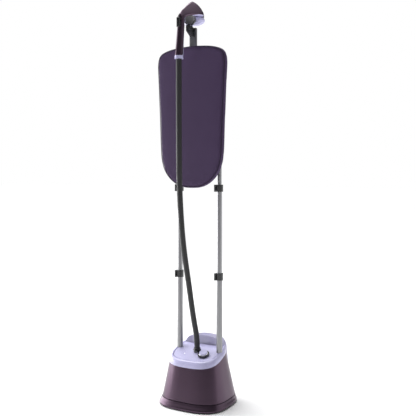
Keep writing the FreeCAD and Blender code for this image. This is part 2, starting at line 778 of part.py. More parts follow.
bolts = []
for at in fixings:
    shaft = rod(2.0, 14.0, Vector(at.x, tray_front + 0.4, at.z), REAR)
    bolts.append(shaft.common(block(-FAR, tray_front, 0, FAR, BOARD_B + 12.0, 2000)))
feature("board_screws", Part.makeCompound(bolts))

mast = new_body("mast")
sketch = new_sketch(mast)


def add_slot(sketch, half_length, radius):
    """A stadium outline: two straight sides and two round ends."""
    straight = half_length - radius
    ends = (Vector(straight, 0, 0), Vector(-straight, 0, 0))
    for centre, start in zip(ends, (-math.pi / 2, math.pi / 2)):
        circle = Part.Circle(centre, Vector(0, 0, 1), radius)
        sketch.addGeometry(Part.ArcOfCircle(circle, start, start + math.pi), False)
    sketch.addGeometry(Part.LineSegment(Vector(straight, radius, 0), Vector(-straight, radius, 0)), False)
    sketch.addGeometry(Part.LineSegment(Vector(-straight, -radius, 0), Vector(straight, -radius, 0)), False)


add_slot(sketch, MAST_W / 2, MAST_D / 2)
add_slot(sketch, MAST_W / 2 - 1.6, MAST_D / 2 - 1.6)
pad(mast, sketch, "sheet.mast_top - sheet.mast_foot")
mast.setExpression("Placement.Base.y", "sheet.mast_centre + sheet.foot_middle")
mast.setExpression("Placement.Base.z", "sheet.mast_foot")

MAST_TOP = size("mast_top")
CRADLE_Y = size("cradle_centre")
CRADLE_Z = size("cradle_level")
CRADLE_R = size("cradle_radius")
mast_face = MAST_Y - MAST_D / 2
arm_outline = [
    (mast_face - 0.1, MAST_TOP),
    (CRADLE_Y + 12.0, MAST_TOP + 1.0),
    (CRADLE_Y, MAST_TOP + 9.5),
    (CRADLE_Y - 15.0, MAST_TOP + 12.5),
    (CRADLE_Y - 19.5, MAST_TOP + 8.0),
    (CRADLE_Y - 18.0, MAST_TOP - 13.0),
    (mast_face - 6.0, MAST_TOP - 31.0),
    (mast_face - 0.1, MAST_TOP - 32.0),
]
arm_wire = Part.makePolygon([Vector(-8.0, y, z) for y, z in arm_outline + arm_outline[:1]])
arm = Part.Face(arm_wire).extrude(Vector(16.0, 0, 0))
for sign in SIDES.values():
    near, far = sorted((sign * 5.0, sign * 9.0))
    arm = arm.cut(block(near, CRADLE_Y - 12.0, MAST_TOP - 13.0, far, mast_face - 4.0, MAST_TOP - 3.0))
CAP_X_HALF = MAST_W / 2 - 3.0
CAP_BACK = MAST_Y + MAST_D / 2 - 1.0
arm = arm.fuse(block(-CAP_X_HALF, mast_face - 1.0, MAST_TOP + 0.1, CAP_X_HALF, CAP_BACK, MAST_TOP + 3.0))
cup = rod(CRADLE_R + 3.2, 9.0, Vector(0, CRADLE_Y - 5.0, CRADLE_Z), REAR)
cup = cup.cut(rod(CRADLE_R + 0.3, 20.0, Vector(0, CRADLE_Y - 8.0, CRADLE_Z), REAR))
cup = cup.cut(block(-FAR, -FAR, CRADLE_Z - 8.0, FAR, FAR, FAR * 5))
arm = arm.fuse(cup).cut(rod(CRADLE_R + 0.3, 12.6, Vector(0, CRADLE_Y - 4.3, CRADLE_Z), REAR)).removeSplitter()

dish = rod(CRADLE_R, 12.0, Vector(0, CRADLE_Y - 4.0, CRADLE_Z), REAR)
dish = dish.cut(Part.makeSphere(44.0, Vector(0, CRADLE_Y - 4.0 - 39.5, CRADLE_Z)))
neck = block(-7.0, CRADLE_Y, MAST_TOP + 1.2, 7.0, CRADLE_Y + 8.0, CRADLE_Z)
cradle = dish.fuse(neck.cut(Part.makeSphere(44.0, Vector(0, CRADLE_Y - 4.0 - 39.5, CRADLE_Z))))
feature("hook_arm", arm.cut(neck))
feature("cradle", cradle)

# ---------------------------------------------------------------- handset


def arch_edge(y, half_width, widest, top, bottom, power_up, power_down):
    """A pointed arch on a plane across Y: widest at one level, with a top and a bottom."""
    points = []
    count = 28
    for i in range(count):
        angle = 2 * math.pi * i / count
        rising = math.sin(angle) >= 0
        reach = top - widest if rising else widest - bottom
        power = power_up if rising else power_down
        x = abs(math.cos(angle)) / half_width
        z = abs(math.sin(angle)) / reach
        radius = (x**power + z**power) ** (-1.0 / power)
        points.append(Vector(radius * math.cos(angle), y, widest + radius * math.sin(angle)))
    curve = Part.BSplineCurve()
    curve.interpolate(points, PeriodicFlag=True)
    return Part.Wire(curve.toShape())


def tilted(wire, y, level, degrees):
    """Lean a section's top towards the user."""
    wire.rotate(Vector(0, y, level), Vector(1, 0, 0), degrees)
    return wire


HEAD_SECTIONS = [
    # y, half width, widest level, top, bottom, lean, power of the upper curve
    (-42.0, 44.0, 1508.0, 1562.0, 1499.0, 13.0, 1.45),
    (-66.0, 37.0, 1507.0, 1553.0, 1500.0, 8.0, 1.2),
    (-100.0, 22.0, 1505.0, 1533.5, 1496.0, 0.0, 1.12),
    (-128.0, 12.0, 1495.0, 1514.0, 1480.0, 0.0, 1.2),
    (-147.0, 9.0, 1482.0, 1495.0, 1472.0, 0.0, 1.6),
]


def head_form(inset):
    """The head, from the steam plate at the back to where it meets the handle."""
    wires = []
    for y, half_width, widest, top, bottom, lean, power in HEAD_SECTIONS:
        ahead = y + inset * (1 if y < -140 else 0)
        wire = arch_edge(ahead, half_width - inset, widest, top - inset, bottom + inset * 0.6, power, 5.0)
        wires.append(tilted(wire, ahead, widest, lean))
    return Part.makeLoft(wires, True, True)


HANDLE_TOP = Vector(0, -133.0, 1488.0)
HANDLE_FOOT = Vector(0, -152.5, 1324.6)


def handle_form(inset):
    """The handle: an oval bar that leans forward and grows towards its foot."""
    wires = []
    for share, wide, deep in ((0.0, 12.0, 16.0), (0.3, 12.5, 16.0), (0.65, 13.5, 17.0), (1.0, 16.0, 19.0)):
        centre = HANDLE_TOP + (HANDLE_FOOT - HANDLE_TOP) * share
        oval = Part.Ellipse(Vector(0, deep - inset, 0), Vector(wide - inset, 0, 0), Vector(0, 0, 0))
        wire = Part.Wire(oval.toShape())
        wire.translate(centre)
        wires.append(wire)
    return Part.makeLoft(wires, True, False)


SKIN = 2.4
body_form = head_form(0.0).fuse(handle_form(0.0))
hollow = head_form(SKIN).fuse(handle_form(SKIN))
shell = body_form.cut(hollow)
end_cap_cut = block(-60, -200, 1300, 60, -60, 1336.5)
sweep_edge = [(-158.0, 1336.5), (-151.0, 1339.0), (-146.0, 1348.0), (-143.0, 1366.0), (-141.0, 1388.0)]
sweep_edge += [(-131.0, 1452.0), (-60.0, 1452.0), (-60.0, 1330.0), (-158.0, 1330.0)]
sweep = Part.Face(Part.makePolygon([Vector(-60, y, z) for y, z in sweep_edge + sweep_edge[:1]]))
lavender = end_cap_cut.fuse(sweep.extrude(Vector(120, 0, 0)))
TRIGGER_LOW, TRIGGER_HIGH = 1444.0, 1480.0
trigger_gap = block(-6.4, -180.0, TRIGGER_LOW - 0.6, 6.4, -142.0, TRIGGER_HIGH + 0.6)
SADDLE_R = CRADLE_R + 3.7
saddle = rod(CRADLE_R + 0.5, 28.6, Vector(0, CRADLE_Y - 20.0, CRADLE_Z), REAR)
saddle = saddle.fuse(block(-SADDLE_R, CRADLE_Y - 20.0, 1440.0, SADDLE_R, CRADLE_Y + 8.6, CRADLE_Z))
CHEEK = [(-96.0, 1490.0), (-84.0, 1500.0), (-66.0, 1505.5), (-30.0, 1507.0), (-30.0, 1480.0), (-96.0, 1480.0)]
cheek_face = Part.Face(Part.makePolygon([Vector(-60, y, z) for y, z in CHEEK + CHEEK[:1]]))
cheek = cheek_face.extrude(Vector(120, 0, 0))
outer_shell = shell.cut(lavender).cut(cheek).cut(trigger_gap).cut(saddle)
feature("handset_shell", outer_shell)

cap_shell = handle_form(0.0).cut(handle_form(SKIN)).common(lavender)
floor = handle_form(SKIN - 0.5).common(block(-60, -200, 1320.0, 60, -60, 1328.0))
cap_shell = cap_shell.fuse(floor).cut(rod(4.2, 40.0, HANDLE_FOOT - Vector(0, 0, 10)))
feature("handle_cap", cap_shell)

BELLY_SECTIONS = [
    # y, half width, top, bottom
    (-66.0, 36.0, 1494.8, 1477.0),
    (-55.0, 43.0, 1496.6, 1470.0),
    (-42.4, 46.5, 1497.4, 1468.0),
]
belly_wires = [
    tilted(arch_edge(y, w, 1488.0, high, low, 6.0, 2.6), y, 1508.0, 13.0)
    for y, w, high, low in BELLY_SECTIONS
]
belly = Part.makeLoft(belly_wires, True, True).cut(head_form(0.0)).fuse(shell.common(cheek))
feature("head_belly", belly.cut(saddle))

PLATE_Y = -41.8
plate = Part.Face(arch_edge(PLATE_Y, 43.5, 1508.0, 1561.0, 1471.0, 1.45, 2.6)).extrude(Vector(0, 3.5, 0))
for ring_count, ring_radius in ((6, 12.0), (10, 24.0)):
    for i in range(ring_count):
        turn = 2 * math.pi * i / ring_count
        hole_at = Vector(ring_radius * math.cos(turn), PLATE_Y - 2, 1514.0 + ring_radius * math.sin(turn))
        plate = plate.cut(rod(1.6, 10.0, hole_at, REAR))
feature("steam_plate", tilted(plate, PLATE_Y, 1508.0, 13.0))

chamber = block(-17.0, -60.0, 1506.0, 17.0, -50.0, 1530.0)
feature("steam_chamber", chamber.cut(block(-14.5, -57.5, 1508.5, 14.5, -52.5, 1527.5)))

riser, _, _ = pipe(
    [
        HANDLE_FOOT + Vector(0, 0, 4.0),
        Vector(0, -141.0, 1420.0),
        Vector(0, -133.5, 1477.0),
        Vector(0, -116.0, 1507.0),
        Vector(0, -88.0, 1519.0),
        Vector(0, -60.2, 1519.0),
    ],
    4.0,
)
feature("handset_pipe", riser)

microswitch = block(-5.0, -149.0, 1452.0, 5.0, -142.5, 1470.0)
feature("microswitch", microswitch)

TRIGGER_BACK = -151.5
trigger = block(-6.0, TRIGGER_BACK - 11.0, TRIGGER_LOW, 6.0, TRIGGER_BACK, TRIGGER_HIGH)
trigger = trigger.makeFillet(3.0, [e for e in trigger.Edges if e.BoundBox.YMax < TRIGGER_BACK - 4])
feature("trigger", trigger)

# ---------------------------------------------------------------- check and write

doc.recompute()
for thing in doc.Objects:
    bad = [state for state in thing.State if state in ("Invalid", "Error")]
    if bad:
        raise RuntimeError(f"{thing.Label} is {bad}")
if len({thing.Label for thing in nodes}) != len(nodes):
    raise RuntimeError("two sub-parts share a label")
for thing in nodes:
    if thing.Shape.isNull() or not thing.Shape.isValid():
        raise RuntimeError(f"{thing.Label} has no valid shape")
    thing.Shape.exportStep(os.path.join("parts", thing.Label + ".step"))
print(len(nodes), "sub-parts written")
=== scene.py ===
# %% [markdown]
# A standing garment steamer. The imported model brings every hard piece to its place, in metres, with the
# floor at height 0 and the user at -Y. This script adds what shaping and paint do better: the padded
# board, the steam hose, the trim on the knob, and a finish for every piece.

import json
import math

import bmesh
import bpy
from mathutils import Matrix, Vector


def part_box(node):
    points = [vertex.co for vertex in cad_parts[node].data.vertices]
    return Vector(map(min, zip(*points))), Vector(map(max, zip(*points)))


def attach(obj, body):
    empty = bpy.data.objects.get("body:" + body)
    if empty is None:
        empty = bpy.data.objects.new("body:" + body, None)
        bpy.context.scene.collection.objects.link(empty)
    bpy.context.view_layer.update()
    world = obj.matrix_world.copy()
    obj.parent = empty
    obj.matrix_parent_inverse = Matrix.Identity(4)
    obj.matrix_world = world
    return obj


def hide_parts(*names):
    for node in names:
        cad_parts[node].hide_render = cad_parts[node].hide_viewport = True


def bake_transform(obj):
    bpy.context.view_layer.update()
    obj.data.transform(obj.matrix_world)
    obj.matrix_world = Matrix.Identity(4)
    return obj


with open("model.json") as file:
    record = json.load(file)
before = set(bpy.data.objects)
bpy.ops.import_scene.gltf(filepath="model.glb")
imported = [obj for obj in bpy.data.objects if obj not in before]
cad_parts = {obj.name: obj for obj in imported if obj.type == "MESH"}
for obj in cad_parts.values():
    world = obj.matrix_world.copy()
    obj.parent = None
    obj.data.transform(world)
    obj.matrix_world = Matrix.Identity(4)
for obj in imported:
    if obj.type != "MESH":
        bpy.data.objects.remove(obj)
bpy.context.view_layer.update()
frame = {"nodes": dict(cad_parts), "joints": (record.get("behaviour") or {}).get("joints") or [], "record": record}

# %% [markdown]
# ## Camera
# The steamer is seen from its right front, a little above half its height, through a long lens. The
# camera stays level so that the poles stay parallel, and the view is moved down a little with the lens
# shift.

# %% Camera
TURN = math.radians(29.5)
PAN = math.radians(0.734)
DISTANCE = 2.646
EYE_LEVEL = 0.909
SENSOR_MM = 36.0
LENS_MM = 58.07
VIEW_DOWN = -0.0913
tube_low, tube_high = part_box("lower_tube_left")
POLES_Y = (tube_low[1] + tube_high[1]) / 2

camera_data = bpy.data.cameras.new("studio_camera")
camera_data.sensor_width = SENSOR_MM
camera_data.lens = LENS_MM
camera_data.shift_y = VIEW_DOWN
camera_data.clip_end = 50.0
camera = bpy.data.objects.new("studio_camera", camera_data)
bpy.context.scene.collection.objects.link(camera)
camera.location = (DISTANCE * math.sin(TURN), POLES_Y - DISTANCE * math.cos(TURN), EYE_LEVEL)
camera.rotation_euler = (math.radians(90), 0, TURN - PAN)
bpy.context.scene.camera = camera
print("camera at", [round(c, 3) for c in camera.location])

# %% [markdown]
# ## Shader maths
# A finish is easier to read as sums than as boxes and wires. `Value` wraps a node's output, and each
# Python sum on it adds one Math node. `Finish` owns a material and adds any other node by its type.

# %% Socket wrapper and finish
class Value:
    """A node's output that can be used as a number."""

    def __init__(self, finish, socket):
        self.finish = finish
        self.socket = socket

    def maths(self, operation, first, second):
        return self.finish.add("ShaderNodeMath", {"operation": operation}, {0: first, 1: second})

    def __add__(self, other):
        return self.maths("ADD", self, other)

    def __radd__(self, other):
        return self.maths("ADD", other, self)

    def __sub__(self, other):
        return self.maths("SUBTRACT", self, other)

    def __rsub__(self, other):
        return self.maths("SUBTRACT", other, self)

    def __mul__(self, other):
        return self.maths("MULTIPLY", self, other)

    def __rmul__(self, other):
        return self.maths("MULTIPLY", other, self)


class Finish:
    """A material, built from nodes."""

    def __init__(self, name, **constants):
        self.material = bpy.data.materials.new(name)
        self.material.use_nodes = True
        self.tree = self.material.node_tree
        self.shader = self.tree.nodes["Principled BSDF"]
        for socket, value in constants.items():
            self.shader.inputs[socket.replace("_", " ")].default_value = value

    def plug(self, socket, value):
        """Sets a socket to a constant, or links a Value to it."""
        if isinstance(value, Value):
            self.tree.links.new(value.socket, socket)
        else:
            socket.default_value = value

    def add(self, kind, settings=None, sockets=None, output=0):
        """Adds a node: its type, then its settings, then its sockets."""
        node = self.tree.nodes.new(kind)
        for name, value in (settings or {}).items():
            setattr(node, name, value)
        for name, value in (sockets or {}).items():
            self.plug(node.inputs[name], value)
        return Value(self, node.outputs[output])

    def surface(self, **sockets):
        """Feeds the shader's own sockets, such as Base_Color."""
        for name, value in sockets.items():
            self.plug(self.shader.inputs[name.replace("_", " ")], value)
        return self.material

    def place(self):
        """The point on the surface, in metres."""
        return self.add("ShaderNodeTexCoord", output=3)

    def stretched(self, scale):
        """The point on the surface, squeezed or stretched along each axis."""
        return self.add("ShaderNodeMapping", None, {"Vector": self.place(), "Scale": scale})

    def noise(self, scale, detail=3.0, at=None):
        """A soft cloud of numbers from 0 to 1. A larger scale has finer grains."""
        sockets = {"Vector": at or self.place(), "Scale": scale, "Detail": detail}
        return self.add("ShaderNodeTexNoise", None, sockets)

    def wave(self, direction, scale, at=None):
        """Even stripes across one axis."""
        settings = {"wave_type": "BANDS", "bands_direction": direction}
        sockets = {"Vector": at or self.place(), "Scale": scale, "Distortion": 0.0}
        return self.add("ShaderNodeTexWave", settings, sockets)

    def blend(self, amount, first, second):
        """A colour between two colours."""
        sockets = {0: amount, 6: first, 7: second}
        return self.add("ShaderNodeMix", {"data_type": "RGBA"}, sockets, output=2)

    def relief(self, height, strength, distance):
        """The normal of a surface with a small relief."""
        sockets = {"Height": height, "Strength": strength, "Distance": distance}
        return self.add("ShaderNodeBump", None, sockets)


def tone(red, green, blue):
    """A colour, in linear light."""
    return (red, green, blue, 1.0)


print("Value turns + - * into Math nodes, and Finish adds the rest")


# %% [markdown]
# ## Moulded plastic
# The base and the handset are injection-moulded plastic. Real gloss isn't a perfect mirror: it has a
# faint ripple, fine scuffs that change the roughness, and a clear skin. One recipe makes them all. The
# plum plastic has pearl flakes in it, so its highlights are plum too, not white. A metallic share on the
# shader gives that, because metal tints what it reflects.

# %% Moulded plastic
def moulded(name, light, dark, roughness, ripple, coat=0.0, pearl=0.0):
    """Plastic with soft clouds between two tones, fine scuffs and a small grain."""
    finish = Finish(name, Coat_Roughness=0.06, Metallic=pearl)
    cloud = finish.noise(9.0, 2.0)
    scuff = finish.noise(160.0, 4.0)
    grain = finish.noise(900.0, 2.0)
    return finish.surface(
        Base_Color=finish.blend(cloud, dark, light),
        Roughness=scuff * (roughness * 0.5) + roughness * 0.75,
        Coat_Weight=coat,
        Normal=finish.relief(grain * 0.3 + cloud * 0.7, ripple, 0.0006),
    )


PLASTICS = {
    # light tone, dark tone, roughness, ripple, clear coat, pearl
    "plum_gloss": ((0.112, 0.074, 0.107), (0.096, 0.061, 0.091), 0.34, 0.010, 0.12, 0.92),
    "lavender_gloss": ((0.61, 0.59, 0.86), (0.57, 0.55, 0.81), 0.26, 0.04, 0.4),
    "black_plastic": ((0.022, 0.022, 0.024), (0.013, 0.013, 0.015), 0.26, 0.15, 0.3),
    "grey_plastic": ((0.17, 0.17, 0.175), (0.12, 0.12, 0.125), 0.34, 0.25),
    "pump_grey": ((0.26, 0.26, 0.28), (0.20, 0.20, 0.22), 0.5, 0.3),
    "board_tray": ((0.060, 0.052, 0.072), (0.045, 0.040, 0.055), 0.5, 0.5),
    "fuse_glass": ((0.85, 0.82, 0.72), (0.75, 0.72, 0.62), 0.12, 0.05, 0.6),
    "feet_rubber": ((0.035, 0.034, 0.033), (0.022, 0.021, 0.020), 0.75, 0.6),
    "silicone_tube": ((0.68, 0.68, 0.65), (0.60, 0.60, 0.57), 0.35, 0.2),
}
FINISHES = {}
for name, (light, dark, *rest) in PLASTICS.items():
    FINISHES[name] = moulded(name, tone(*light), tone(*dark), *rest)
print("moulded finishes", len(FINISHES))

# %% [markdown]
# ## Tinted tank
# The water tank is a lavender close to the rim's, but it lets a little light through, so it looks
# deeper than the rim beside it. The share that it lets through is a constant on the shader.

# %% Tinted tank
tinted = Finish("tank_tinted", Transmission_Weight=0.15, IOR=1.45, Coat_Weight=0.4)
tint_cloud = tinted.noise(7.0, 2.0)
tint_scuff = tinted.noise(120.0, 3.0)
FINISHES["tank_tinted"] = tinted.surface(
    Base_Color=tinted.blend(tint_cloud, tone(0.66, 0.63, 0.86), tone(0.71, 0.68, 0.91)),
    Roughness=tint_scuff * 0.08 + 0.10,
    Normal=tinted.relief(tint_cloud, 0.05, 0.0006),
)
print("tinted tank lets through", tinted.shader.inputs["Transmission Weight"].default_value)

# %% [markdown]
# ## Metals
# The poles are drawn steel tube with a satin finish. Drawing leaves very fine lines along the tube, so
# the noise is squeezed across the tube and stretched along it, and drives both roughness and relief.

# %% Metals
def drawn_metal(name, bright, dull, roughness, relief):
    """Metal with fine lines along Z."""
    finish = Finish(name, Metallic=1.0)
    lines = finish.noise(700.0, 3.0, finish.stretched((1.0, 1.0, 0.012)))
    cloud = finish.noise(5.0, 2.0)
    return finish.surface(
        Base_Color=finish.blend(cloud, dull, bright),
        Roughness=lines * 0.16 + cloud * 0.06 + (roughness - 0.1),
        Normal=finish.relief(lines, relief, 0.0003),
    )


METALS = {
    # bright tone, dull tone, roughness, relief
    "bright_steel": ((0.31, 0.31, 0.32), (0.27, 0.27, 0.28), 0.33, 0.10),
    "boiler_alloy": ((0.60, 0.60, 0.60), (0.48, 0.48, 0.48), 0.50, 0.5),
    "plate_chrome": ((0.80, 0.80, 0.82), (0.74, 0.74, 0.76), 0.16, 0.04),
}
for name, (bright, dull, *rest) in METALS.items():
    FINISHES[name] = drawn_metal(name, tone(*bright), tone(*dull), *rest)
print("metals", list(METALS))

# %% [markdown]
# ## Hose, lamp, circuit board and foam
# The steam hose has a tight black textile sleeve. Two sets of slanting stripes, one each way round,
# cross to make its braid. The lamp glows a little, the circuit board is green lacquer with a grid of
# tracks, and the foam is pale with open cells.

# %% Hose sleeve
sleeve = Finish("hose_black", Sheen_Weight=0.10, Sheen_Roughness=0.5)
rise = sleeve.wave("DIAGONAL", 260.0, sleeve.stretched((1.0, 1.0, 0.8)))
fall = sleeve.wave("DIAGONAL", 260.0, sleeve.stretched((1.0, 1.0, -0.8)))
braid = rise * fall
fluff = sleeve.noise(420.0, 3.0)
FINISHES["hose_black"] = sleeve.surface(
    Base_Color=sleeve.blend(
        braid * 0.7 + fluff * 0.3, tone(0.006, 0.006, 0.007), tone(0.026, 0.026, 0.028)
    ),
    Roughness=fluff * 0.15 + 0.50,
    Normal=sleeve.relief(braid + fluff * 0.4, 0.5, 0.0005),
)
print("hose sleeve nodes", len(sleeve.tree.nodes))

# %% Lamp, circuit board and foam
lamp = Finish("lamp_white", Emission_Color=tone(0.95, 0.96, 1.0), Emission_Strength=0.6)
frost = lamp.noise(500.0, 2.0)
FINISHES["lamp_white"] = lamp.surface(
    Base_Color=lamp.blend(frost, tone(0.86, 0.87, 0.92), tone(0.96, 0.96, 0.98)),
    Roughness=frost * 0.2 + 0.2,
)

circuit = Finish("circuit_green", Coat_Weight=0.4)
tracks = circuit.wave("X", 120.0) * circuit.wave("Z", 70.0)
FINISHES["circuit_green"] = circuit.surface(
    Base_Color=circuit.blend(tracks, tone(0.01, 0.10, 0.04), tone(0.04, 0.24, 0.10)),
    Roughness=tracks * 0.2 + 0.3,
    Normal=circuit.relief(tracks, 0.3, 0.0003),
)

foam = Finish("board_foam")
cells = foam.noise(700.0, 4.0)
FINISHES["board_foam"] = foam.surface(
    Base_Color=foam.blend(cells, tone(0.60, 0.56, 0.44), tone(0.82, 0.78, 0.66)),
    Roughness=cells * 0.1 + 0.85,
    Normal=foam.relief(cells, 0.8, 0.001),
)
print("finishes so far", len(FINISHES))

# %% [markdown]
# ## Board cloth
# The board wears a dark purple woven cover. The weave is two sets of fine threads, one along X and one
# along Z, that take turns on top. The threads on top are painted lighter, a painted highlight, and uneven
# slubs along the threads lift the tone a little too. Worn threads catch a little more light, so a slow
# noise lifts the colour in places, and a soft sheen lightens the cloth where it turns away.

# %% Board cloth
cloth = Finish(
    "board_cloth",
    Specular_IOR_Level=0.25,
    Sheen_Weight=0.10,
    Sheen_Roughness=0.45,
    Sheen_Tint=tone(0.55, 0.50, 0.75),
)
warp = cloth.wave("X", 150.0)
weft = cloth.wave("Z", 150.0)
weave_relief_and_highlight = warp * weft + (1 - warp) * (1 - weft)
slub = cloth.noise(240.0, 4.0, cloth.stretched((1.0, 1.0, 0.25)))
wear = cloth.noise(6.0, 2.0)
cloth_colour = cloth.blend(wear, tone(0.049, 0.028, 0.075), tone(0.063, 0.038, 0.092))
FINISHES["board_cloth"] = cloth.surface(
    # Painted highlight: the third colour lightens the threads on top of the weave, where light would catch them.
    # The slubs, uneven threads, also lift the tone a little in places.
    Base_Color=cloth.blend(weave_relief_and_highlight * 0.45 + slub * 0.35, cloth_colour, tone(0.080, 0.049, 0.112)),
    Roughness=slub * 0.15 + 0.62,
    Normal=cloth.relief(weave_relief_and_highlight * 0.6 + slub * 0.6, 0.45, 0.0005),
)
print("finishes", len(FINISHES))

# %% [markdown]
# ## Dress the frame
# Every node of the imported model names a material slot. Each one gets the finish of that name.

# %% Dress the frame
for part in frame["record"]["subparts"]:
    holder = frame["nodes"][part["node"]]
    for slot in holder.material_slots:
        slot.material = FINISHES[part["material_slot"]]

# %% [markdown]
# ## Small tools
# A new piece is a mesh made of rings: each ring is a loop of points, and neighbours are joined by quads.
# Tubes, pads and trim all come from it. A layer of subdivision then makes the surface smooth.

# %% Ring meshes
def shade_smooth(mesh):
    for face in mesh.polygons:
        face.use_smooth = True


def new_piece(name, points, faces, finish):
    """A smooth mesh object with one finish, and its normals outwards."""
    mesh = bpy.data.meshes.new(name)
    mesh.from_pydata([tuple(p) for p in points], [], faces)
    mesh.update()
    piece = bpy.data.objects.new(name, mesh)
    bpy.context.scene.collection.objects.link(piece)
    piece.data.materials.append(FINISHES[finish])
    builder = bmesh.new()
    builder.from_mesh(mesh)
    bmesh.ops.recalc_face_normals(builder, faces=builder.faces)
    builder.to_mesh(mesh)
    builder.free()
    shade_smooth(mesh)
    return piece


def skin_rings(rings, closed_ends=True):
    """Quads between loops of points of one length. Returns the points and the faces."""
    count = len(rings[0])
    points = [p for ring in rings for p in ring]
    faces = []
    for r in range(len(rings) - 1):
        for i in range(count):
            j = (i + 1) % count
            faces.append((r * count + i, r * count + j, (r + 1) * count + j, (r + 1) * count + i))
    if closed_ends:
        faces.append(tuple(range(count - 1, -1, -1)))
        last = (len(rings) - 1) * count
        faces.append(tuple(last + i for i in range(count)))
    return points, faces


def apply_modifiers(piece):
    """Bakes the piece's modifiers into its mesh."""
    graph = bpy.context.evaluated_depsgraph_get()
    baked = bpy.data.meshes.new_from_object(piece.evaluated_get(graph))
    piece.modifiers.clear()
    piece.data = baked


def subdivide(piece):
    """Splits each face in four and rounds the surface."""
    modifier = piece.modifiers.new("smooth", "SUBSURF")
    modifier.levels = 1
    modifier.render_levels = 1
    apply_modifiers(piece)


cube_points, cube_faces = skin_rings([[0, 1, 2, 3], [4, 5, 6, 7]])
print("two rings of four points make", len(cube_faces), "faces on", len(cube_points), "points")


# %% [markdown]
# ## Steam hose
# The hose leaves the deck, swings forward to the user's side and climbs in front of the board to the
# foot of the handle. It is one hose, drawn in three stretches, because the stand has three stages that
# slide into each other.
# Each stretch is a NURBS spline with its route as control points, given a round skin. The points are
# measured from the line between the poles, because that is what the hose swings out from.

# %% Steam hose
HOSE_RADIUS = 0.0108
STEPS_ALONG, STEPS_AROUND = 24, 8
OUTLET = (0, POLES_Y - 0.0180, 0.214)
LOW_JOIN = (0, POLES_Y - 0.1380, 0.715)
HIGH_JOIN = (0, POLES_Y - 0.1556, 1.130)
HANDLE_END = (0, POLES_Y - 0.1561, 1.3246)
LOW_ROUTE = [
    OUTLET,
    (0, POLES_Y - 0.0180, 0.252),
    (0, POLES_Y - 0.0460, 0.330),
    (0, POLES_Y - 0.0820, 0.470),
    (0, POLES_Y - 0.1270, 0.630),
    LOW_JOIN,
]
MIDDLE_ROUTE = [LOW_JOIN, (0, POLES_Y - 0.1490, 0.800), (0, POLES_Y - 0.1546, 0.930), HIGH_JOIN]
HIGH_ROUTE = [HIGH_JOIN, (0, POLES_Y - 0.1561, 1.230), HANDLE_END]


def hose_stretch(name, route):
    """A tube along a NURBS spline. Returns the piece and the line that it follows."""
    line = bpy.data.curves.new(name, "CURVE")
    line.dimensions = "3D"
    line.resolution_u = STEPS_ALONG
    spline = line.splines.new("NURBS")
    spline.points.add(len(route) - 1)
    for control, point in zip(spline.points, route):
        control.co = (*point, 1.0)
    spline.order_u = 3
    spline.use_endpoint_u = True
    holder = bpy.data.objects.new(name + "_line", line)
    bpy.context.scene.collection.objects.link(holder)
    graph = bpy.context.evaluated_depsgraph_get()
    path = [v.co.copy() for v in bpy.data.meshes.new_from_object(holder.evaluated_get(graph)).vertices]
    line.bevel_depth = HOSE_RADIUS
    line.bevel_resolution = STEPS_AROUND
    line.use_fill_caps = True
    bpy.context.view_layer.update()
    graph = bpy.context.evaluated_depsgraph_get()
    mesh = bpy.data.meshes.new_from_object(holder.evaluated_get(graph))
    bpy.data.objects.remove(holder)
    piece = bpy.data.objects.new(name, mesh)
    bpy.context.scene.collection.objects.link(piece)
    mesh.materials.clear()
    mesh.materials.append(FINISHES["hose_black"])
    shade_smooth(mesh)
    length = sum((b - a).length for a, b in zip(path, path[1:]))
    return piece, path, length


HOSE_PLAN = [
    # piece, the solid that it stands for, the stage below, the stage above, route
    ("steam_hose_low", "hose_lower", "base", "middle_poles", LOW_ROUTE),
    ("steam_hose_middle", "hose_middle", "middle_poles", "upper_frame", MIDDLE_ROUTE),
    ("steam_hose_high", "hose_upper", "upper_frame", "handset", HIGH_ROUTE),
]
for name, node, below, above, route in HOSE_PLAN:
    piece, path, length = hose_stretch(name, route)
    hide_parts(node)
    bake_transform(piece)
    print(name, "length", round(length, 3))

# %% [markdown]
# ## Padded board
# The board is a foam pad on a stiff tray, in a tight cover. Seen from the front it is a tall shield with
# a bowed top and a round lower end. The right half of the outline is listed once, from the foot upwards,
# as shares of the half width and of the height. The left half mirrors it.

# %% Board outline
board_low, board_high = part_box("board_cover")
BOARD_HALF = (board_high[0] - board_low[0]) / 2
BOARD_FOOT, BOARD_TOP = board_low[2], board_high[2]
BOARD_FRONT, BOARD_BACK = board_low[1], board_high[1]
OUTLINE = [
    (0.0, 0.0),
    (0.27, 0.007),
    (0.48, 0.031),
    (0.65, 0.068),
    (0.79, 0.120),
    (0.867, 0.180),
    (0.903, 0.240),
    (0.922, 0.345),
    (0.940, 0.485),
    (0.962, 0.625),
    (0.995, 0.820),
    (1.0, 0.870),
    (0.975, 0.918),
    (0.91, 0.950),
    (0.78, 0.972),
    (0.50, 0.991),
]


def curve_through(points, steps):
    """A smooth closed loop through points, with even steps between each pair."""
    loop = []
    count = len(points)
    for i in range(count):
        a, b, c, d = (points[(i + k) % count] for k in (-1, 0, 1, 2))
        slope = c - a
        bend = 2 * a - 5 * b + 4 * c - d
        twist = 3 * b - a - 3 * c + d
        for step in range(steps):
            t = step / steps
            loop.append(0.5 * (2 * b + slope * t + bend * t**2 + twist * t**3))
    return loop


def board_loop(inset, y, spread=1.0):
    """The board's outline on one plane, moved inwards, or shrunk towards its middle line."""
    half = [Vector((u * BOARD_HALF, 0, BOARD_FOOT + v * (BOARD_TOP - BOARD_FOOT))) for u, v in OUTLINE]
    top = Vector((0, 0, BOARD_TOP))
    left = [Vector((-p.x, 0, p.z)) for p in half[:0:-1]]
    loop = curve_through(half + [top] + left, 3)
    middle = Vector((0, 0, (BOARD_FOOT + BOARD_TOP) / 2))
    moved = []
    for before, at, after in zip(loop[-1:] + loop[:-1], loop, loop[1:] + loop[:1]):
        along = (after - before).normalized()
        inwards = Vector((-along.z, 0, along.x))
        point = at + inwards * inset
        point = middle + (point - middle) * spread
        moved.append(Vector((point.x, y, point.z)))
    return moved


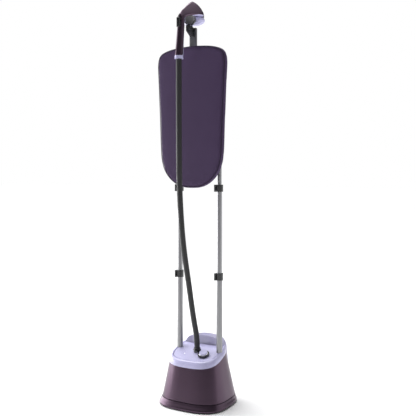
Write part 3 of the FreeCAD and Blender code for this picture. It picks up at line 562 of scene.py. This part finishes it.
print("board", round(2 * BOARD_HALF, 3), "wide", round(BOARD_TOP - BOARD_FOOT, 3), "tall")


# %% [markdown]
# The pad is the outline repeated in rings: a slightly crowned front, a round front edge, a side band, a
# round back edge and a flat back. It is then blown up a little with Cloth, like a real stuffed cover:
# the mesh is rebuilt as even cells and given a small pressure with gravity off, and no point may move
# more than the cap. The cover is tight, so the pad starts slightly small and swells into its place.

# %% Board pad
PAD_START = 0.0015
FRONT_ROUND = 0.0125
BACK_ROUND = 0.010
CROWN = ((0.25, 0.0020), (0.55, 0.0018), (0.80, 0.0010), (0.93, 0.0))
EDGE_TURNS = [math.radians(turn) for turn in (0, 22.5, 45, 67.5, 90)]


def board_pad():
    """The pad as a closed skin of rings, from the middle of its front to the middle of its back."""
    front, back = BOARD_FRONT + PAD_START, BOARD_BACK - 0.001
    rings = [board_loop(PAD_START + FRONT_ROUND, front - rise, spread) for spread, rise in CROWN]
    for turn in EDGE_TURNS:
        inset = PAD_START + FRONT_ROUND * (1 - math.sin(turn))
        rings.append(board_loop(inset, front + FRONT_ROUND * (1 - math.cos(turn))))
    for turn in reversed(EDGE_TURNS):
        inset = PAD_START + BACK_ROUND * (1 - math.sin(turn))
        rings.append(board_loop(inset, back - BACK_ROUND * (1 - math.cos(turn))))
    rings.append(board_loop(0.0155, back))
    rings.append(board_loop(0.0160, back - 0.003))
    rings.append(board_loop(0.0160, back - 0.003, 0.5))
    return new_piece("board_pad", *skin_rings(rings), "board_cloth")


def swell(piece, voxel, pressure, cap):
    """Blows a closed mesh up like a cushion, without letting any point move further than the cap."""
    remesh = piece.modifiers.new("even_cells", "REMESH")
    remesh.mode = "VOXEL"
    remesh.voxel_size = voxel
    apply_modifiers(piece)
    before = [v.co.copy() for v in piece.data.vertices]
    fabric = piece.modifiers.new("stuffing", "CLOTH")
    fabric.settings.use_pressure = True
    fabric.settings.uniform_pressure_force = pressure
    fabric.settings.effector_weights.gravity = 0.0
    fabric.settings.quality = 5
    fabric.point_cache.frame_start = 1
    fabric.point_cache.frame_end = 20
    for step in range(1, 21):
        bpy.context.scene.frame_set(step)
    apply_modifiers(piece)
    bpy.context.scene.frame_set(1)
    for vertex, start in zip(piece.data.vertices, before):
        move = vertex.co - start
        if move.length > cap:
            vertex.co = start + move.normalized() * cap
    shade_smooth(piece.data)


pad = board_pad()
swell(pad, voxel=0.006, pressure=2.0, cap=0.002)
subdivide(pad)
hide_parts("board_cover", "board_foam")
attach(pad, "upper_frame")
print("pad faces", len(pad.data.polygons))

# %% [markdown]
# ## Board seam
# Where the front panel meets the side band, the cover has a sewn seam with a thin dark piping in it. It
# is a tube along the same outline, sunk half way into the round edge of the pad.

# %% Seam piping
piping = Finish("seam_piping", Specular_IOR_Level=0.2)
twist = piping.noise(500.0, 3.0)
FINISHES["seam_piping"] = piping.surface(
    Base_Color=piping.blend(twist, tone(0.014, 0.008, 0.020), tone(0.034, 0.022, 0.046)),
    Roughness=twist * 0.2 + 0.65,
    Normal=piping.relief(twist, 0.5, 0.0004),
)
print("finishes", len(FINISHES))

# %% Board seam
PIPING_RADIUS = 0.0014
PIPING_SIDES = 8
SEAM_INSET = 0.0078
SEAM_BEHIND_FRONT = 0.0016


def loop_tube(name, loop, finish):
    """A thin closed tube along a loop of points on a plane across Y."""
    rings = []
    for before, at, after in zip(loop[-1:] + loop[:-1], loop, loop[1:] + loop[:1]):
        along = (after - before).normalized()
        outwards = along.cross(Vector((0, 1, 0))).normalized()
        ring = []
        for k in range(PIPING_SIDES):
            angle = 2 * math.pi * k / PIPING_SIDES
            ahead = Vector((0, PIPING_RADIUS * math.sin(angle), 0))
            ring.append(at + outwards * PIPING_RADIUS * math.cos(angle) + ahead)
        rings.append(ring)
    points, faces = skin_rings(rings + [rings[0]], closed_ends=False)
    return new_piece(name, points, faces, finish)


seam_line = board_loop(SEAM_INSET, BOARD_FRONT + SEAM_BEHIND_FRONT)
seam = loop_tube("board_seam", seam_line, "seam_piping")
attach(seam, "upper_frame")
print("seam points", len(seam_line))

# %% [markdown]
# ## Knob trim
# The steam knob has a bright ring where its lavender cap meets the black skirt. The ring is a thin torus
# about the knob's own axis, which the frame gives as the axis of the joint `dial_turn`.

# %% Knob trim
RING_SEGMENTS, RING_SIDES = 64, 12
RING_RISE = 0.0088
RING_RADIUS = 0.0173
RING_THICKNESS = 0.0011


def ring_about(centre, axis, radius, thickness, name, finish):
    """A thin ring around an axis."""
    across = axis.orthogonal().normalized()
    third = axis.cross(across)
    rings = []
    for i in range(RING_SEGMENTS):
        turn = 2 * math.pi * i / RING_SEGMENTS
        out = across * math.cos(turn) + third * math.sin(turn)
        ring = []
        for k in range(RING_SIDES):
            angle = 2 * math.pi * k / RING_SIDES
            reach = radius + thickness * math.cos(angle)
            ring.append(centre + out * reach + axis * thickness * math.sin(angle))
        rings.append(ring)
    points, faces = skin_rings(rings + [rings[0]], closed_ends=False)
    return new_piece(name, points, faces, finish)


dial_joint = next(joint for joint in frame["joints"] if joint["name"] == "dial_turn")
dial_axis = Vector(dial_joint["axis"]).normalized()
ring_centre = Vector(dial_joint["pos_m"]) + dial_axis * RING_RISE
bezel = ring_about(ring_centre, dial_axis, RING_RADIUS, RING_THICKNESS, "knob_bezel", "plate_chrome")
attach(bezel, "dial")
print("knob ring at", [round(c, 3) for c in ring_centre])

# %% [markdown]
# ## Floor
# A plain pale floor, far wider than the view, takes the steamer's soft shadow.

# %% Floor
FLOOR_REACH = 30

floor_paint = Finish("studio_floor", Specular_IOR_Level=0.0)
floor_cloud = floor_paint.noise(2.0, 2.0)
floor_finish = floor_paint.surface(
    Base_Color=floor_paint.blend(floor_cloud, tone(0.965, 0.965, 0.965), tone(0.975, 0.975, 0.975)),
    Roughness=floor_cloud * 0.1 + 0.8,
)
floor_corners = [(x * FLOOR_REACH, y * FLOOR_REACH, 0) for x, y in ((-1, -1), (1, -1), (1, 1), (-1, 1))]
floor_mesh = bpy.data.meshes.new("studio_floor")
floor_mesh.from_pydata(floor_corners, [], [(0, 1, 2, 3)])
floor = bpy.data.objects.new("studio_floor", floor_mesh)
bpy.context.scene.collection.objects.link(floor)
floor_mesh.materials.append(floor_finish)
print("floor is", 2 * FLOOR_REACH, "m wide")

# %% [markdown]
# ## Lamps
# Gloss shows what it reflects, so each soft lamp stands where one piece looks for it. A wide lamp at the
# left grades the base's walls from light to dark, and brightens the left of the poles. A dimmer one
# at the right does the base's other side. The room between them is almost dark, so the corner that faces
# it stays a deep plum. A lamp above and behind lies in the reflection of the head, and a small one high
# at the left touches the knob and the rim.

# %% Lamps
def aim(thing, direction):
    """Turns a lamp so that it shines along a direction."""
    thing.rotation_euler = Vector(direction).to_track_quat("-Z", "Y").to_euler()


def soft_lamp(name, at, target, width, height, power):
    """A large soft rectangle of light that faces a target."""
    data = bpy.data.lights.new(name, "AREA")
    data.shape = "RECTANGLE"
    data.size = width
    data.size_y = height
    data.energy = power
    lamp_object = bpy.data.objects.new(name, data)
    bpy.context.scene.collection.objects.link(lamp_object)
    lamp_object.location = at
    aim(lamp_object, Vector(target) - Vector(at))


LAMPS = [
    # name, place, target, width, height, power in watts
    ("lamp_left", (-2.59, 0.15, 0.68), (0, 0, 0.68), 3.6, 1.5, 84.0),
    ("lamp_right", (2.3, 1.2, 0.9), (0, 0, 0.8), 2.2, 2.4, 11.0),
    ("lamp_behind", (0.80, 0.68, 3.1), (0, -0.1, 1.53), 1.7, 1.5, 5.0),
    ("lamp_high_left", (-2.5, -0.35, 2.1), (0, 0, 0.6), 1.2, 0.7, 13.0),
]
for lamp_facts in LAMPS:
    soft_lamp(*lamp_facts)
print("soft lamps", len(LAMPS))

# %% [markdown]
# ## Overhead light
# A very wide sun, above and a little behind at the left, lights the floor evenly and lays a soft shadow
# at the right and in front.

# %% Overhead light
SUN_STRENGTH = 3.15
SUN_WIDTH = math.radians(50)
SUN_DIRECTION = (0.34, -0.16, -1.0)

sun_data = bpy.data.lights.new("overhead", "SUN")
sun_data.energy = SUN_STRENGTH
sun_data.angle = SUN_WIDTH
sun = bpy.data.objects.new("overhead", sun_data)
bpy.context.scene.collection.objects.link(sun)
aim(sun, SUN_DIRECTION)
print("overhead light is", round(math.degrees(SUN_WIDTH)), "degrees wide")

# %% [markdown]
# ## Room
# The room that lights and reflects is a dim cool grey. Behind the steamer the backdrop is plain white.

# %% Room
ROOM_COLOUR = (0.92, 0.93, 1.0, 1.0)
ROOM_STRENGTH = 0.11

world = bpy.data.worlds.new("studio")
world.use_nodes = True
room = world.node_tree
dim = room.nodes["Background"]
dim.inputs["Color"].default_value = ROOM_COLOUR
dim.inputs["Strength"].default_value = ROOM_STRENGTH
white = room.nodes.new("ShaderNodeBackground")
white.inputs["Color"].default_value = tone(1.0, 1.0, 1.0)
rays = room.nodes.new("ShaderNodeLightPath")
choice = room.nodes.new("ShaderNodeMixShader")
room.links.new(rays.outputs["Is Camera Ray"], choice.inputs[0])
room.links.new(dim.outputs[0], choice.inputs[1])
room.links.new(white.outputs[0], choice.inputs[2])
room.links.new(choice.outputs[0], room.nodes["World Output"].inputs[0])
bpy.context.scene.world = world
bpy.context.scene.view_settings.view_transform = "Standard"
print("room strength", ROOM_STRENGTH)
